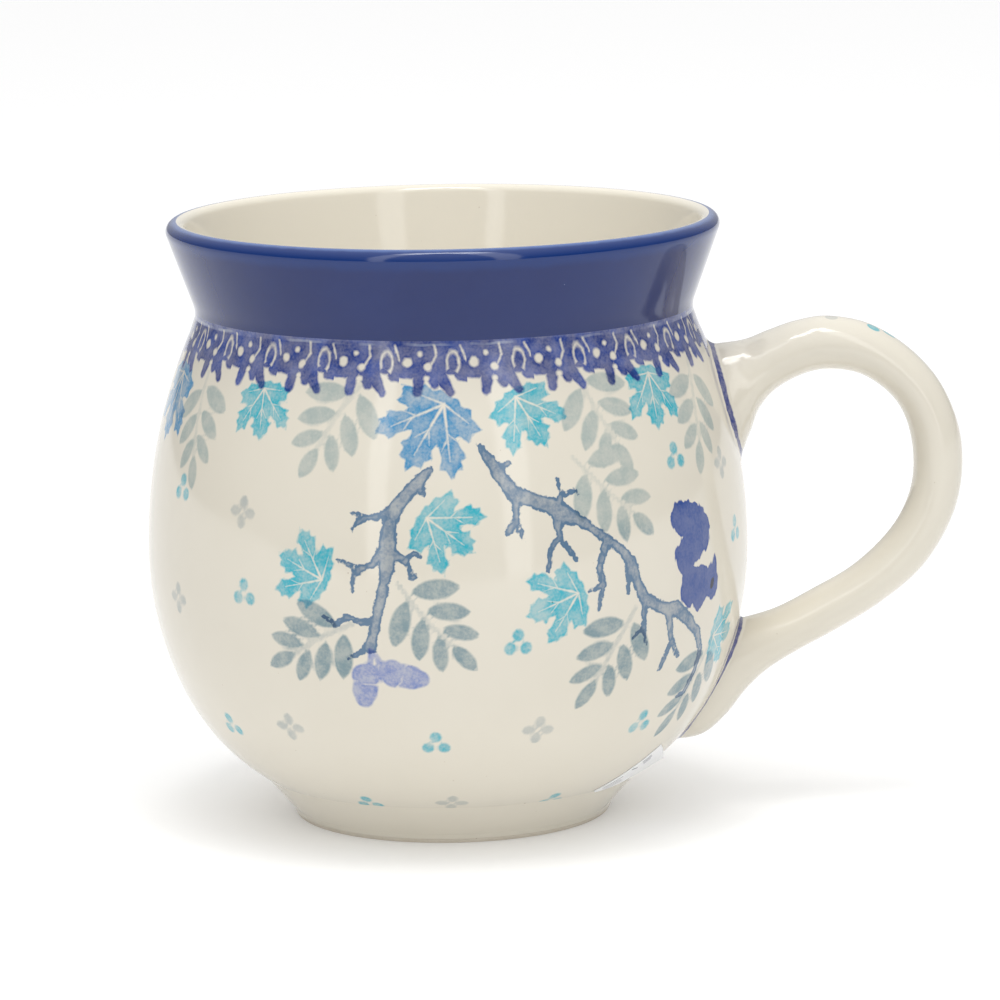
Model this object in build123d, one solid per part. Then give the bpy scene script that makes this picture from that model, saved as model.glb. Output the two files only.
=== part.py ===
from build123d import *
from math import cos, degrees, radians, sin
import os

# A round-bellied stoneware mug with a flared collar and a loop handle.
#
# The origin is the centre of the foot ring's resting face, +Z is up and the handle points along +X.
# Two clay pieces, the turned body and the strap handle, are joined with slip. Glaze covers them
# everywhere but on the foot ring, and a paper label is stuck low down beside the handle.

# Driving dimensions of the glazed outside, in millimetres
HEIGHT = 100.0  # over the lip
BELLY_RADIUS = 49.9
BELLY_HEIGHT = 45.0  # where the belly is widest
LOWER_ARC = 53.3  # radius of the wall's curve below the widest point
LOWER_TURN = 25.2  # degrees of that curve, down to the tighter one round the base
BASE_ARC = 36.4
BASE_TURN = 90.0  # runs on under the foot, which covers its end
UPPER_ARC = 89.0  # radius of the curve above the widest point
UPPER_TURN = 35.0  # runs on inside the collar, which covers its end
WAIST_FILLET = 5.0  # where the belly turns out into the collar
COLLAR_FLARE = 0.36  # outward for each millimetre up
LIP_RADIUS = 1.65  # the lip is a full round
LIP_CENTRE = (44.0, HEIGHT - LIP_RADIUS)
FOOT_RADIUS = 26.3  # at the resting face
FOOT_FLARE = 0.33
FOOT_HEIGHT = 5.2
FOOT_EDGE = 0.5  # bevel round the resting face
FOOT_TUCK = 1.0  # how far its wall runs on up inside the belly

# Inside, under the base, and the coats
WALL = 3.9  # between the glazed faces of the belly
FLOOR_HEIGHT = 6.4
FLOOR_FILLET = 12.0
INNER_WAIST_FILLET = 9.0
INNER_COLLAR_FLARE = 0.32
RECESS_RADIUS = 21.8  # hollow under the base, within the foot ring
RECESS_DEPTH = 2.6
RECESS_FLARE = 0.6
GLAZE = 0.35
BARE_HEIGHT = 0.8  # glaze is wiped off the foot ring up to here
COLLAR_EDGE = 84.6  # the cobalt collar starts here, in the waist
WAIST = (BELLY_RADIUS - 9, COLLAR_EDGE)  # near the corner that the waist's fillets round
LINER_RIM = 97.4  # above this the liner covers just the inner half of the lip
LINER_REACH = 1.5  # any depth between the glaze and half the wall tells the two sides apart

# The handle, from the upper root round to the tail: a point of its outer edge and the point of its
# inner edge across from it, both in the XZ plane, and the strap's half width there along Y
HANDLE_STATIONS = [
    ((38.0, 76.4), (40.0, 57.0), 8.6),
    ((44.6, 77.7), (47.8, 58.4), 8.0),
    ((49.6, 78.4), (50.2, 62.4), 6.8),
    ((53.6, 79.9), (52.0, 67.0), 6.0),
    ((58.2, 81.4), (55.4, 70.6), 5.6),
    ((63.6, 82.1), (61.2, 73.1), 5.4),
    ((70.5, 80.6), (67.2, 72.9), 5.4),
    ((77.2, 76.3), (71.7, 70.7), 5.4),
    ((82.3, 70.3), (75.3, 66.9), 5.4),
    ((85.3, 62.6), (77.2, 61.6), 5.4),
    ((85.6, 54.6), (77.5, 55.2), 5.4),
    ((83.6, 47.2), (75.9, 49.6), 5.4),
    ((79.0, 39.8), (72.6, 44.7), 5.4),
    ((72.2, 34.0), (67.2, 39.8), 5.4),
    ((64.8, 29.5), (60.9, 36.2), 5.4),
    ((58.4, 26.1), (54.6, 33.0), 5.5),
    ((53.2, 22.9), (48.4, 31.2), 5.9),
    ((49.4, 19.4), (42.6, 29.8), 6.7),
    ((46.2, 15.4), (37.2, 26.6), 7.6),
    ((42.4, 12.2), (33.4, 23.0), 7.8),
    ((38.0, 11.3), (30.6, 19.6), 6.6),
    ((34.2, 12.2), (28.8, 17.2), 4.6),
]
SLIP = 0.5  # between the handle's ends and the wall
JOINT_SPLIT = 45.0  # any height between the two joints
LINE_WIDTH = 1.4  # cobalt line brushed round each joint
LINE_THICKNESS = 0.12

# The paper label
LABEL_BOTTOM = 6.2
LABEL_TOP = 15.4
LABEL_WIDTH = 13.0  # round the mug, at its top edge
LABEL_TURN = -29.3  # of its middle, in degrees from the handle
LABEL_THICKNESS = 0.15

SECTION = Plane.XZ  # its X is the distance from the mug's axis, its Y is the height
BIG = 4 * HEIGHT


def arc_end(centre, arc_radius, angle):
    return (centre[0] + arc_radius * cos(radians(angle)), centre[1] + arc_radius * sin(radians(angle)))


def belly_arcs(inset):
    """The belly's wall from under the base up to inside the collar, moved in by inset."""
    lower_centre = (BELLY_RADIUS - LOWER_ARC, BELLY_HEIGHT)
    upper_centre = (BELLY_RADIUS - UPPER_ARC, BELLY_HEIGHT)
    base_centre = arc_end(lower_centre, LOWER_ARC - BASE_ARC, -LOWER_TURN)
    base_arc = CenterArc(base_centre, BASE_ARC - inset, -BASE_TURN, BASE_TURN - LOWER_TURN)
    lower_arc = CenterArc(lower_centre, LOWER_ARC - inset, -LOWER_TURN, LOWER_TURN)
    upper_arc = CenterArc(upper_centre, UPPER_ARC - inset, 0, UPPER_TURN)
    top = arc_end(upper_centre, UPPER_ARC - inset, UPPER_TURN)
    bottom = arc_end(base_centre, BASE_ARC - inset, -BASE_TURN)
    closing = Polyline(top, (0, top[1]), (0, bottom[1]), bottom)
    return make_face(base_arc + lower_arc + upper_arc + closing)


def collar_wall(side, flare, shift):
    """The ends of one slanted wall of the collar, on the lip's round and down at belly height.

    side is 1 for the outer wall and -1 for the inner one. Both move away from the axis by shift.
    """
    slant = (1 + flare**2) ** 0.5
    lip_x = LIP_CENTRE[0] + side * LIP_RADIUS / slant + shift
    lip_y = LIP_CENTRE[1] - side * LIP_RADIUS * flare / slant
    return (lip_x, lip_y), (lip_x - flare * (lip_y - BELLY_HEIGHT), BELLY_HEIGHT)


def slab(bottom, top, reach=BIG):
    """The half section between two heights, out to this distance from the axis."""
    return Pos(0, bottom) * Rectangle(reach, top - bottom, align=(Align.MIN, Align.MIN))


def rounded(section, near, fillet_radius):
    """The section with its corner nearest to a point rounded."""
    nearest = min(section.vertices(), key=lambda vertex: (Vector(*vertex) - Vector(*near)).length)
    return fillet(nearest, fillet_radius)


def filled_section(inset):
    """Half section of the outside, as if the mug were solid, with its skin moved in by inset."""
    lip, wall_foot = collar_wall(1, COLLAR_FLARE, -inset)
    inner_lip, _ = collar_wall(-1, INNER_COLLAR_FLARE, inset)
    collar = make_face(Polyline((0, BELLY_HEIGHT), wall_foot, lip, inner_lip, (0, inner_lip[1]), close=True))
    foot_height = FOOT_HEIGHT + FOOT_TUCK
    foot_radius = FOOT_RADIUS - inset
    foot_top = (foot_radius + FOOT_FLARE * foot_height, foot_height)
    foot = make_face(Polyline((0, 0), (foot_radius, 0), foot_top, (0, foot_height), close=True))
    foot = rounded(foot, (foot_radius, 0), FOOT_EDGE)
    outside = rounded(belly_arcs(inset) + collar + foot, WAIST, WAIST_FILLET + inset)
    return outside + Pos(*LIP_CENTRE) * Circle(LIP_RADIUS - inset)


def cavity_section(reach):
    """Half section of the space inside, up past the lip, its walls and floor moved out by reach."""
    lip, wall_foot = collar_wall(-1, INNER_COLLAR_FLARE, reach)
    above = (lip[0], 2 * HEIGHT)
    collar = make_face(Polyline((0, BELLY_HEIGHT), wall_foot, lip, above, (0, above[1]), close=True))
    floor_height = FLOOR_HEIGHT - reach
    cavity = (belly_arcs(WALL - reach) & slab(floor_height, HEIGHT)) + collar
    cavity = rounded(cavity, WAIST, INNER_WAIST_FILLET - reach)
    return rounded(cavity, (FOOT_RADIUS, floor_height), FLOOR_FILLET + reach)


def recess_section(reach):
    """Half section of the hollow under the base, its walls and roof moved out by reach."""
    bottom_radius = RECESS_RADIUS + reach
    roof_height = RECESS_DEPTH + reach
    roof = (bottom_radius - RECESS_FLARE * roof_height, roof_height)
    return make_face(Polyline((0, 0), (bottom_radius, 0), roof, (0, roof_height), close=True))


def mug_section(inset):
    """Half section of the mug's wall, with its skin moved in by inset everywhere but on the foot."""
    wall = filled_section(inset) - cavity_section(inset) - recess_section(inset)
    return wall + Pos(*LIP_CENTRE) * Circle(LIP_RADIUS - inset)


def turned(section, angle=360.0):
    return revolve(SECTION * section, Axis.Z, angle)


def handle_loft(inset):
    """The handle as a loft through its stations, its skin moved in by inset."""
    sections = []
    for outer, inner, half_width in HANDLE_STATIONS:
        across = Vector(outer[0] - inner[0], 0, outer[1] - inner[1])
        middle = Vector(outer[0] + inner[0], 0, outer[1] + inner[1]) / 2
        plane = Plane(origin=middle, x_dir=across, z_dir=across.cross(Vector(0, 1, 0)))
        sections.append(plane * Ellipse(across.length / 2 - inset, half_width - inset))
    return loft(sections)


def half_space(below):
    """Everything below the height that splits the two joints, or everything above it."""
    side = Align.MAX if below else Align.MIN
    return Pos(0, 0, JOINT_SPLIT) * Box(BIG, BIG, BIG, align=(Align.CENTER, Align.CENTER, side))


mug = mug_section(0)
clay = mug_section(GLAZE) + (mug & slab(0, BARE_HEIGHT))
coat = mug - clay


def stoneware_body():
    """The turned and fired clay, bare only on the foot ring."""
    return turned(clay)


def liner_coat():
    """The coat inside the mug, up to the crown of the lip."""
    inside = cavity_section(LINER_REACH) & slab(0, LINER_RIM)
    return coat & (inside + slab(LINER_RIM, 2 * HEIGHT, reach=LIP_CENTRE[0]))


def base_coat():
    return coat & slab(0, RECESS_DEPTH + LINER_REACH, reach=(RECESS_RADIUS + FOOT_RADIUS) / 2)


def liner_glaze():
    return turned(liner_coat())


def base_glaze():
    return turned(base_coat())


def collar_glaze():
    """The cobalt collar, up to the liner's edge on the crown of the lip."""
    return turned((coat & slab(COLLAR_EDGE, 2 * HEIGHT)) - liner_coat())


def belly_glaze():
    """The decorated coat from the foot ring up to the collar, open where the handle is joined."""
    return turned((coat & slab(0, COLLAR_EDGE)) - liner_coat() - base_coat()) - handle_loft(0)


def handle():
    return handle_loft(GLAZE) - turned(filled_section(GLAZE - SLIP))


def handle_glaze():
    return handle_loft(0) - handle_loft(GLAZE) - turned(filled_section(GLAZE))


def joint_slip(below):
    """The pad of slip between one end of the handle and the wall."""
    layer = turned(filled_section(GLAZE - SLIP)) - turned(filled_section(GLAZE))
    return handle_loft(GLAZE) & layer & half_space(below)


def joint_line(below):
    """The brushed cobalt line on the glaze round one end of the handle."""
    layer = turned(filled_section(-LINE_THICKNESS)) - turned(filled_section(0))
    return (handle_loft(-LINE_WIDTH) - handle_loft(0)) & layer & half_space(below)


def paper_label():
    """A paper sticker that follows the belly near the foot."""
    strip = filled_section(-LABEL_THICKNESS) - filled_section(0)
    strip = strip & slab(LABEL_BOTTOM, LABEL_TOP)
    spread = degrees(LABEL_WIDTH / strip.bounding_box().max.X)
    return Rot(0, 0, LABEL_TURN - spread / 2) * turned(strip, spread)


sub_parts = {
    "stoneware_body": stoneware_body(),
    "handle": handle(),
    "upper_joint_slip": joint_slip(below=False),
    "lower_joint_slip": joint_slip(below=True),
    "liner_glaze": liner_glaze(),
    "collar_glaze": collar_glaze(),
    "belly_glaze": belly_glaze(),
    "base_glaze": base_glaze(),
    "handle_glaze": handle_glaze(),
    "upper_joint_line": joint_line(below=False),
    "lower_joint_line": joint_line(below=True),
    "paper_label": paper_label(),
}

os.makedirs("parts", exist_ok=True)
for name, shape in sub_parts.items():
    export_step(shape, f"parts/{name}.step")
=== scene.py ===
import math

import bpy
import numpy as np
from mathutils import Matrix, Vector


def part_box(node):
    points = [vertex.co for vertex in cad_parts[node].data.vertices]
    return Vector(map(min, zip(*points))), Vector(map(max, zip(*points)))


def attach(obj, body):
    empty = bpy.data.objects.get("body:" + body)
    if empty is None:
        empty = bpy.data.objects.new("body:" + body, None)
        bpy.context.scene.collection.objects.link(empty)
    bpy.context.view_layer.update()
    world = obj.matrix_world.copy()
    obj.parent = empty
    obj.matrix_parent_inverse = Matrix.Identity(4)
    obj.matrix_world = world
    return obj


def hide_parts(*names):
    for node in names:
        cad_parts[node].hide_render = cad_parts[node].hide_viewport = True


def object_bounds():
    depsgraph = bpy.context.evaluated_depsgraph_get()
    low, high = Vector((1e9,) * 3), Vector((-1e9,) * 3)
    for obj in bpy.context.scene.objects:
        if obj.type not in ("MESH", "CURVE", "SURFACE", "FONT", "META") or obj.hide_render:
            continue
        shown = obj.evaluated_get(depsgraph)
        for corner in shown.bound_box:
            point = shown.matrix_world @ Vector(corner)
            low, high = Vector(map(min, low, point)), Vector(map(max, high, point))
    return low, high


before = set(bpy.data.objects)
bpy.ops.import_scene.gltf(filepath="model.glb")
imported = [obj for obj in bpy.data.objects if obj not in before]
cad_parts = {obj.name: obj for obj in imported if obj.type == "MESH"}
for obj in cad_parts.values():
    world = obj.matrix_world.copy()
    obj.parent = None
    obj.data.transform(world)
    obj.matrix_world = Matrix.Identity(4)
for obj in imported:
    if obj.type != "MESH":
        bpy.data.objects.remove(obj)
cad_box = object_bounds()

# ---------------------------------------------------------------------------------------------
# The camera looks a little down on the mug, with the handle to the right, from far enough off
# that the mug's sides stay nearly parallel.
# ---------------------------------------------------------------------------------------------
mug_height = cad_box[1].z - cad_box[0].z
camera_data = bpy.data.cameras.new("camera")
camera_data.sensor_width = 36
camera_data.lens = 195.5
camera_data.clip_start = mug_height
camera_data.clip_end = 60 * mug_height
camera = bpy.data.objects.new("camera", camera_data)
bpy.context.scene.collection.objects.link(camera)
bpy.context.scene.camera = camera
camera_turn, camera_drop, camera_roll = 0.0098, 0.1749, -0.0163  # radians
camera.location = Vector((0, -8.899, 2.094)) * mug_height
camera.rotation_euler = (
    Matrix.Rotation(-camera_turn, 3, "Z")
    @ Matrix.Rotation(math.pi / 2 - camera_drop, 3, "X")
    @ Matrix.Rotation(camera_roll, 3, "Z")
).to_euler()

# ---------------------------------------------------------------------------------------------
# The turned body: cream stoneware thrown to this outline, with a foot ring turned under it. All
# that shows of the clay is the foot ring, where the glaze was wiped off so that it would not
# stick to the kiln shelf.
# ---------------------------------------------------------------------------------------------
MM = 0.001
BELLY_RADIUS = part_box("belly_glaze")[1].x / MM
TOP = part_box("collar_glaze")[1].z / MM
BELLY_HEIGHT, LOWER_ARC, BASE_ARC, UPPER_ARC = 45.0, 53.3, 36.4, 89.0
LOWER_TURN = 25.2  # degrees
COLLAR_FLARE, INNER_FLARE = 0.36, 0.32
LIP_RADIUS = 1.65
LIP_CENTRE = np.array((44.0, TOP - LIP_RADIUS))
WAIST_FILLET, INNER_WAIST_FILLET, FLOOR_FILLET = 5.0, 9.0, 12.0
WALL, FLOOR_HEIGHT, GLAZE = 3.9, 6.4, 0.35
FOOT_RADIUS, FOOT_FLARE, FOOT_HEIGHT, BARE_HEIGHT = 26.3, 0.33, 5.2, 0.8
RECESS_RADIUS, RECESS_DEPTH, RECESS_FLARE = 21.8, 2.6, 0.6
BELLY_START, INSIDE_START = -62.6, -71.2  # degrees round the lowest arc, outside and inside
FLOOR_FLAT = 18.5  # radius of the floor's flat middle
COLLAR_EDGE = 84.6


def arc(centre, radius, start, end, step):
    """Points (distance from the axis, height) along an arc, its angles in degrees."""
    count = max(2, round(abs(math.radians(end - start)) * radius / step))
    angles = np.radians(np.linspace(start, end, count + 1))
    return [(centre[0] + radius * math.cos(a), centre[1] + radius * math.sin(a)) for a in angles]


def straight(start, end, step):
    count = max(1, round(math.dist(start, end) / step))
    return [tuple(p) for p in np.linspace(start, end, count + 1)]


def angle_of(vector):
    return math.degrees(math.atan2(vector[1], vector[0]))


def belly_and_collar(depth, side, flare, fillet, start_angle, step):
    """A wall's face from the base up to the lip's round, depth inside the glazed outside.

    side is 1 for the outer face and -1 for the inner one.
    """
    lower_centre = np.array((BELLY_RADIUS - LOWER_ARC, BELLY_HEIGHT))
    tilt = math.radians(LOWER_TURN)
    base_centre = lower_centre + (LOWER_ARC - BASE_ARC) * np.array((math.cos(tilt), -math.sin(tilt)))
    upper_centre = np.array((BELLY_RADIUS - UPPER_ARC, BELLY_HEIGHT))
    upper_radius = UPPER_ARC - depth
    slant = math.hypot(1, flare)
    outward, upward = np.array((1, -flare)) / slant, np.array((flare, 1)) / slant
    lip = LIP_CENTRE + side * LIP_RADIUS * outward
    across = lip + fillet * outward - upper_centre
    along = across @ upward
    fall = along - math.sqrt(along**2 - across @ across + (upper_radius + fillet) ** 2)
    fillet_centre = upper_centre + across - fall * upward
    fillet_angle = angle_of(fillet_centre - upper_centre)
    face = arc(base_centre, BASE_ARC - depth, start_angle, -LOWER_TURN, step)
    face += arc(lower_centre, LOWER_ARC - depth, -LOWER_TURN, 0, step)[1:]
    face += arc(upper_centre, upper_radius, 0, fillet_angle, step)[1:]
    face += arc(fillet_centre, fillet, 180 + fillet_angle, 180 + angle_of(outward), step)[1:]
    return face + straight(face[-1], lip, step)[1:]


def outer_face(step):
    """The glazed outside, from the wiped edge on the foot up to the lip's round."""
    foot_corner = np.array((FOOT_RADIUS + FOOT_FLARE * FOOT_HEIGHT, FOOT_HEIGHT))
    foot_bottom = (FOOT_RADIUS + FOOT_FLARE * BARE_HEIGHT, BARE_HEIGHT)
    foot = straight(foot_bottom, foot_corner + (-0.1, -0.4), step)
    foot += [tuple(foot_corner + (0.05, -0.12)), tuple(foot_corner + (0.3, 0.12))]
    belly = belly_and_collar(0, 1, COLLAR_FLARE, WAIST_FILLET, BELLY_START, step)
    return foot + belly


def inner_face(step):
    """The glazed inside, from the middle of the floor up to the lip's round."""
    floor = straight((0, FLOOR_HEIGHT), (FLOOR_FLAT, FLOOR_HEIGHT), step)
    floor += arc((FLOOR_FLAT, FLOOR_HEIGHT + FLOOR_FILLET), FLOOR_FILLET, -90, INSIDE_START, step)[1:]
    return floor + belly_and_collar(WALL, -1, INNER_FLARE, INNER_WAIST_FILLET, INSIDE_START, step)[1:]


def lip_face(step):
    """The lip's full round, from its outer side over to its inner one."""
    outer_angle = -math.degrees(math.atan(COLLAR_FLARE))
    return arc(LIP_CENTRE, LIP_RADIUS, outer_angle, 180 + angle_of((1, -INNER_FLARE)), step)


def moved_in(face, distance):
    """A face moved to its left by this distance: into the wall where it runs up the outside."""
    points = np.array(face)
    along = np.gradient(points, axis=0)
    along /= np.linalg.norm(along, axis=1)[:, None]
    return points + distance * np.stack((-along[:, 1], along[:, 0]), axis=1)


def mesh_piece(name, points, faces, sharp_rings=(), ring_size=0):
    """A smooth-shaded object from points in millimetres, riding on the mug."""
    mesh = bpy.data.meshes.new(name)
    mesh.from_pydata((np.asarray(points) * MM).tolist(), [], faces)
    mesh.shade_smooth()
    if len(sharp_rings):
        rings = np.zeros(len(mesh.vertices), bool)
        for ring in sharp_rings:
            rings[ring * ring_size : (ring + 1) * ring_size] = True
        ends = np.empty(2 * len(mesh.edges), np.int32)
        mesh.edges.foreach_get("vertices", ends)
        ends = ends.reshape(-1, 2)
        same_ring = ends[:, 0] // ring_size == ends[:, 1] // ring_size
        sharp = mesh.attributes.new("sharp_edge", "BOOLEAN", "EDGE")
        sharp.data.foreach_set("value", rings[ends].all(axis=1) & same_ring)
    piece = bpy.data.objects.new(name, mesh)
    bpy.context.scene.collection.objects.link(piece)
    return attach(piece, "root")


PINHOLE = 0.02  # left open at the axis, so that every face has four sides


def turned(name, outline, turns, sharp_rings=()):
    """A closed solid of revolution: the outline is a closed loop of (distance, height)."""
    outline = np.array(outline)
    outline[:, 0] = np.maximum(outline[:, 0], PINHOLE)
    angles = np.linspace(0, 2 * math.pi, turns, endpoint=False)
    radii, heights = outline[:, :1], outline[:, 1:]
    points = np.stack((radii * np.cos(angles), radii * np.sin(angles), heights + 0 * angles), axis=2)
    ring = np.arange(len(outline))[:, None] * turns
    next_ring = np.roll(ring, -1, axis=0)
    here, beside = np.arange(turns), np.roll(np.arange(turns), -1)
    faces = np.stack((ring + here, ring + beside, next_ring + beside, next_ring + here), axis=2)
    return mesh_piece(name, points.reshape(-1, 3), faces.reshape(-1, 4).tolist(), sharp_rings, turns)


def coat(name, face, turns, thin_rings=8):
    """A skin of glaze: the face with its own dense rings, closed by a sparser face against the clay."""
    back = moved_in(face, 0.9 * GLAZE)
    kept = np.unique(np.linspace(0, len(face) - 1, thin_rings).round().astype(int))[::-1]
    outline = list(face) + [tuple(back[i]) for i in kept]
    return turned(name, outline, turns, sharp_rings=(0, len(face) - 1, len(face), len(outline) - 1))


class Field:
    """A value that changes over the surface, so that a pattern can be written as a formula."""

    def __init__(self, tree, socket):
        self.tree, self.socket = tree, socket

    def math(self, operation, *others):
        node = self.tree.nodes.new("ShaderNodeMath")
        node.operation = operation
        for slot, value in zip(node.inputs, (self, *others)):
            if isinstance(value, Field):
                self.tree.links.new(value.socket, slot)
            else:
                slot.default_value = value
        return Field(self.tree, node.outputs[0])

    def __add__(self, other):
        return self.math("ADD", other)

    def __sub__(self, other):
        return self.math("SUBTRACT", other)

    def __mul__(self, other):
        return self.math("MULTIPLY", other)

    def __truediv__(self, other):
        return self.math("DIVIDE", other)

    def __neg__(self):
        return self.math("MULTIPLY", -1.0)

    def __abs__(self):
        return self.math("ABSOLUTE")

    def least(self, other):
        return self.math("MINIMUM", other)

    def most(self, other):
        return self.math("MAXIMUM", other)

    def hypot(self, other):
        return (self * self + other * other).math("SQRT")

    def step(self, low, high):
        """0 below low, 1 above high, and smooth between them."""
        node = self.tree.nodes.new("ShaderNodeMapRange")
        node.interpolation_type = "SMOOTHSTEP"
        for slot, value in zip(node.inputs[:3], (self, low, high)):
            if isinstance(value, Field):
                self.tree.links.new(value.socket, slot)
            else:
                slot.default_value = value
        return Field(self.tree, node.outputs[0])


def new_group(name, inputs, outputs):
    """A shader node group; returns its tree, its inputs as fields, and its output node."""
    tree = bpy.data.node_groups.new(name, "ShaderNodeTree")
    kinds = {"value": "NodeSocketFloat", "colour": "NodeSocketColor"}
    for label, kind, default in inputs:
        socket = tree.interface.new_socket(label, in_out="INPUT", socket_type=kinds[kind])
        socket.default_value = default
    for label, kind in outputs:
        tree.interface.new_socket(label, in_out="OUTPUT", socket_type=kinds[kind])
    entry, exit_node = tree.nodes.new("NodeGroupInput"), tree.nodes.new("NodeGroupOutput")
    return tree, {label: Field(tree, entry.outputs[label]) for label, _, _ in inputs}, exit_node


def place(tree, group_tree, **values):
    """Puts a node group into a tree, with its inputs set or linked; spaces are written _."""
    node = tree.nodes.new("ShaderNodeGroup")
    node.node_tree = group_tree
    for label, value in values.items():
        slot = node.inputs[label.replace("_", " ")]
        if isinstance(value, Field):
            tree.links.new(value.socket, slot)
        else:
            slot.default_value = value
    return {output.name: Field(tree, output) for output in node.outputs}


def object_place(tree):
    """The point's own place on the mug, in metres, as a socket."""
    return tree.nodes.new("ShaderNodeTexCoord").outputs["Object"]


def split(tree, socket):
    """The three parts of a place, each as a field."""
    node = tree.nodes.new("ShaderNodeSeparateXYZ")
    tree.links.new(socket, node.inputs[0])
    return [Field(tree, output) for output in node.outputs]


def noise(tree, size, detail=2.0, shift=(0, 0, 0), stretch=(1, 1, 1)):
    """Soft noise round 0, about -0.5 to 0.5, its features this many millimetres across."""
    mapping = tree.nodes.new("ShaderNodeMapping")
    mapping.inputs["Location"].default_value = shift
    mapping.inputs["Scale"].default_value = stretch
    node = tree.nodes.new("ShaderNodeTexNoise")
    node.inputs["Scale"].default_value = 1 / (size * MM)
    node.inputs["Detail"].default_value = detail
    tree.links.new(object_place(tree), mapping.inputs["Vector"])
    tree.links.new(mapping.outputs["Vector"], node.inputs["Vector"])
    return Field(tree, node.outputs["Fac"]) - 0.5


def speck_mask(tree, spacing, radius, share, seed):
    """Round specks of this radius, one to a cell of this spacing, in a share of the cells."""
    node = tree.nodes.new("ShaderNodeTexVoronoi")
    node.inputs["Scale"].default_value = 1 / (spacing * MM)
    mapping = tree.nodes.new("ShaderNodeMapping")
    mapping.inputs["Location"].default_value = (seed, 0, 0)
    tree.links.new(object_place(tree), mapping.inputs["Vector"])
    tree.links.new(mapping.outputs["Vector"], node.inputs["Vector"])
    pick = tree.nodes.new("ShaderNodeSeparateColor")
    tree.links.new(node.outputs["Color"], pick.inputs["Color"])
    chosen = Field(tree, pick.outputs[0]).step(1 - share, 1 - share + 0.01)
    size = Field(tree, pick.outputs[1]) * 0.8 + 0.5
    near = Field(tree, node.outputs["Distance"]) * spacing / size
    return (-near).step(-radius, -0.5 * radius) * chosen


def blended(tree, kind, amount, first, second):
    """A colour mix; amount is a field or a number, first and second are fields or colours."""
    node = tree.nodes.new("ShaderNodeMix")
    node.data_type, node.blend_type = "RGBA", kind
    for slot, value in ((node.inputs["Factor"], amount), (node.inputs[6], first), (node.inputs[7], second)):
        if isinstance(value, Field):
            tree.links.new(value.socket, slot)
        else:
            slot.default_value = value
    return Field(tree, node.outputs[2])


def new_material(name, roughness, ior):
    """A material with a shader for a clay or glaze, whose even values are set on the shader."""
    material = bpy.data.materials.new(name)
    material.use_nodes = True
    shader = material.node_tree.nodes["Principled BSDF"]
    shader.inputs["Roughness"].default_value = roughness
    shader.inputs["IOR"].default_value = ior
    return material, material.node_tree, shader


def bumpy(tree, shader, height, depth):
    """Gives the shader a bumpy normal from a height field, depth millimetres deep."""
    node = tree.nodes.new("ShaderNodeBump")
    node.inputs["Distance"].default_value = depth * MM
    tree.links.new(height.socket, node.inputs["Height"])
    tree.links.new(node.outputs["Normal"], shader.inputs["Normal"])


clay_grain, _, grain_exit = new_group("clay grain", [], [("Colour", "colour"), ("Grit", "value")])
grit = noise(clay_grain, 0.5, 4) + noise(clay_grain, 0.16, 2) * 0.6
tone_cloud = noise(clay_grain, 6, 3) + 0.5
clay_tone = blended(clay_grain, "MIX", tone_cloud, (0.62, 0.56, 0.46, 1), (0.70, 0.65, 0.56, 1))
iron_specks = speck_mask(clay_grain, 1.3, 0.09, 0.5, 3.0)
clay_tone = blended(clay_grain, "MIX", iron_specks, clay_tone, (0.20, 0.13, 0.08, 1))
clay_tone = blended(clay_grain, "MULTIPLY", grit.step(0.0, -0.5) * 0.35, clay_tone, (0.6, 0.55, 0.5, 1))
clay_grain.links.new(clay_tone.socket, grain_exit.inputs["Colour"])
clay_grain.links.new(grit.socket, grain_exit.inputs["Grit"])

clay_material, tree, shader = new_material("bare stoneware", 0.78, 1.45)
grain = place(tree, clay_grain)
tree.links.new(grain["Colour"].socket, shader.inputs["Base Color"])
bumpy(tree, shader, grain["Grit"], 0.06)

foot_bevel = 0.5
foot_outline = arc((FOOT_RADIUS - foot_bevel, foot_bevel), foot_bevel, -90, -18, 0.2)
foot_outline += [(FOOT_RADIUS + FOOT_FLARE * BARE_HEIGHT, BARE_HEIGHT)]
clay_outline = foot_outline + [tuple(p) for p in moved_in(outer_face(1.2), GLAZE)]
clay_outline += [tuple(p) for p in moved_in(lip_face(0.6), GLAZE)][1:]
clay_outline += [tuple(p) for p in moved_in(inner_face(1.2)[::-1], GLAZE)][1:]
recess_roof = RECESS_DEPTH + GLAZE
recess_edge = (RECESS_RADIUS - RECESS_FLARE * recess_roof + GLAZE, recess_roof)
clay_outline += straight((0, recess_roof), recess_edge, 1.2)
clay_outline += [(RECESS_RADIUS - RECESS_FLARE * BARE_HEIGHT, BARE_HEIGHT), (RECESS_RADIUS + 0.1, 0.2)]
clay_outline += [(RECESS_RADIUS + 0.4, 0.0)]
body = turned("turned_body", clay_outline, turns=256)
body.data.materials.append(clay_material)
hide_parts("stoneware_body")

# ---------------------------------------------------------------------------------------------
# The handle's clay core and the slip that joins it: a strap of the same clay, pressed in a mould
# and stuck on while both were leather-hard. The glaze hides all three.
# ---------------------------------------------------------------------------------------------
for hidden_node in ("handle", "upper_joint_slip", "lower_joint_slip"):
    node_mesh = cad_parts[hidden_node].data
    node_mesh.materials.clear()
    node_mesh.materials.append(clay_material)

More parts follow.
